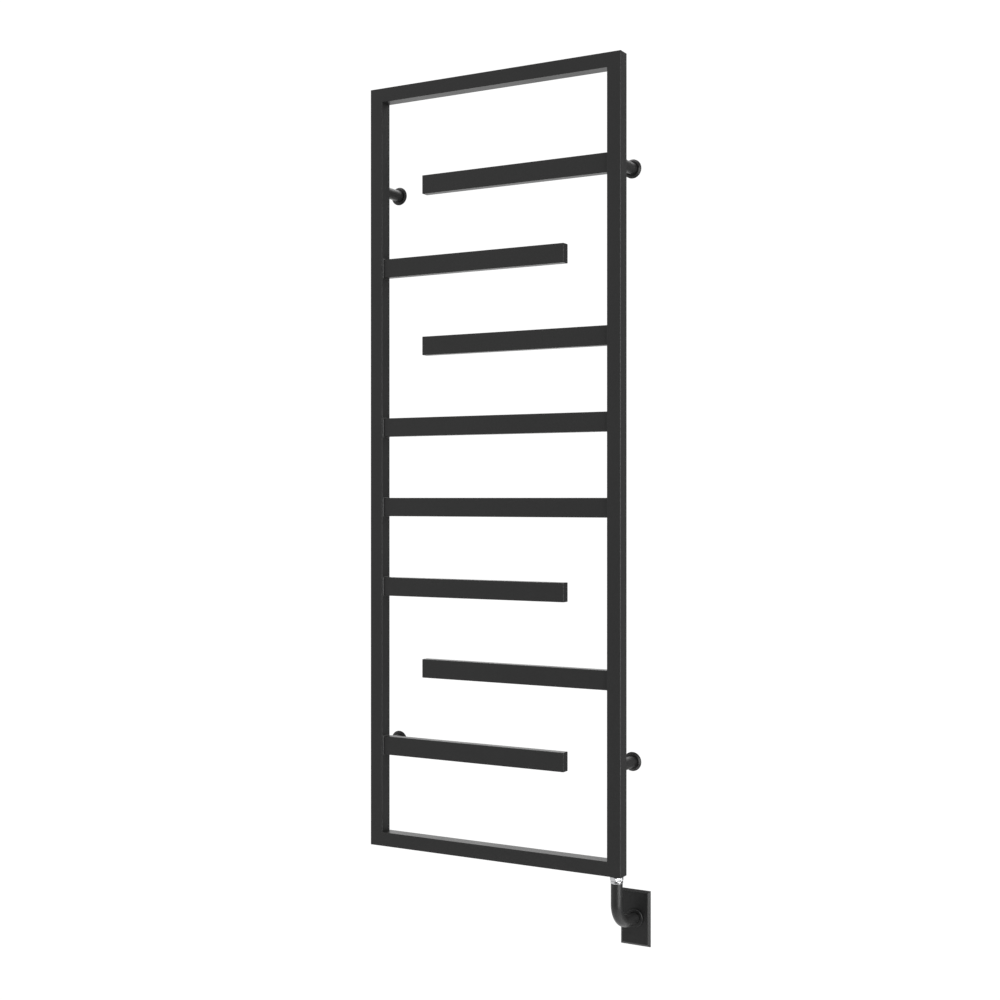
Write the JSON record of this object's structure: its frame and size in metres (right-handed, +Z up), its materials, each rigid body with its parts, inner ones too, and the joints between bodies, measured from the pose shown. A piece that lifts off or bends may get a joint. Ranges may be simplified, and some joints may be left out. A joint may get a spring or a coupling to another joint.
{
  "type": "towel warmer rack",
  "caption": "Wall-hung electric towel warmer: upright rectangular frame with flat bars, some open at one end, on round stand-offs, wired through an elbow conduit.",
  "frame": {"origin": "on the wall plane, at the centre of the four wall brackets", "axes": "+Z up, +Y into the wall, -Y towards the room, +X to the right as seen from the room"},
  "size_m": [0.6301, 0.092, 1.8072],
  "materials": {
    "black_coat": "satin black powder coat",
    "chrome": "polished",
    "steel": "zinc plated",
    "brass": "machined",
    "rubber": "matte",
    "lead_black": "lead insulation",
    "lead_white": "lead insulation",
    "lead_green": "lead insulation"
  },
  "bodies": {
    "rack": {"left_post": "black_coat", "right_post": "black_coat", "top_rail": "black_coat", "bottom_rail": "black_coat", "bar_1": "black_coat", "bar_1_end_cap": "black_coat", "bar_2": "black_coat", "bar_2_end_cap": "black_coat", "bar_3": "black_coat", "bar_3_end_cap": "black_coat", "bar_4": "black_coat", "bar_5": "black_coat", "bar_6": "black_coat", "bar_6_end_cap": "black_coat", "bar_7": "black_coat", "bar_7_end_cap": "black_coat", "bar_8": "black_coat", "bar_8_end_cap": "black_coat", "upper_left_stem": "black_coat", "upper_left_wall_base": "steel", "upper_left_wall_screw": "steel", "upper_left_set_screw": "steel", "upper_right_stem": "black_coat", "upper_right_wall_base": "steel", "upper_right_wall_screw": "steel", "upper_right_set_screw": "steel", "lower_left_stem": "black_coat", "lower_left_wall_base": "steel", "lower_left_wall_screw": "steel", "lower_left_set_screw": "steel", "lower_right_stem": "black_coat", "lower_right_wall_base": "steel", "lower_right_wall_screw": "steel", "lower_right_set_screw": "steel", "heater_boss": "steel", "heater_head": "chrome", "heater_seal": "rubber", "heater_rod": "steel", "fill_boss": "steel", "fill_plug": "brass"},
    "elbow": {"elbow_conduit": "black_coat", "lock_ring": "chrome", "live_lead": "lead_black", "neutral_lead": "lead_white", "earth_lead": "lead_green", "wall_strap": "steel", "conduit_locknut": "steel", "upper_strap_screw": "brass", "lower_strap_screw": "brass"},
    "cover": {"cover_plate": "black_coat", "escutcheon": "black_coat"},
    "rosette_upper_left": {"upper_left_rosette": "black_coat"},
    "rosette_upper_right": {"upper_right_rosette": "black_coat"},
    "rosette_lower_left": {"lower_left_rosette": "black_coat"},
    "rosette_lower_right": {"lower_right_rosette": "black_coat"}
  },
  "joints": [
    {"name": "elbow_swivel", "type": "hinge", "parent": "rack", "child": "elbow", "pos_m": [0.285, -0.077, -0.84], "axis": [0, 0, 1], "range_deg": [-90, 90]},
    {"name": "cover_slide", "type": "slide", "parent": "elbow", "child": "cover", "axis": [-0.0969, -0.9953, 0], "range_m": [0, 0.022]},
    {"name": "rosette_upper_left_slide", "type": "slide", "parent": "rack", "child": "rosette_upper_left", "axis": [0, -1, 0], "range_m": [0, 0.052]},
    {"name": "rosette_upper_right_slide", "type": "slide", "parent": "rack", "child": "rosette_upper_right", "axis": [0, -1, 0], "range_m": [0, 0.052]},
    {"name": "rosette_lower_left_slide", "type": "slide", "parent": "rack", "child": "rosette_lower_left", "axis": [0, -1, 0], "range_m": [0, 0.052]},
    {"name": "rosette_lower_right_slide", "type": "slide", "parent": "rack", "child": "rosette_lower_right", "axis": [0, -1, 0], "range_m": [0, 0.052]}
  ]
}
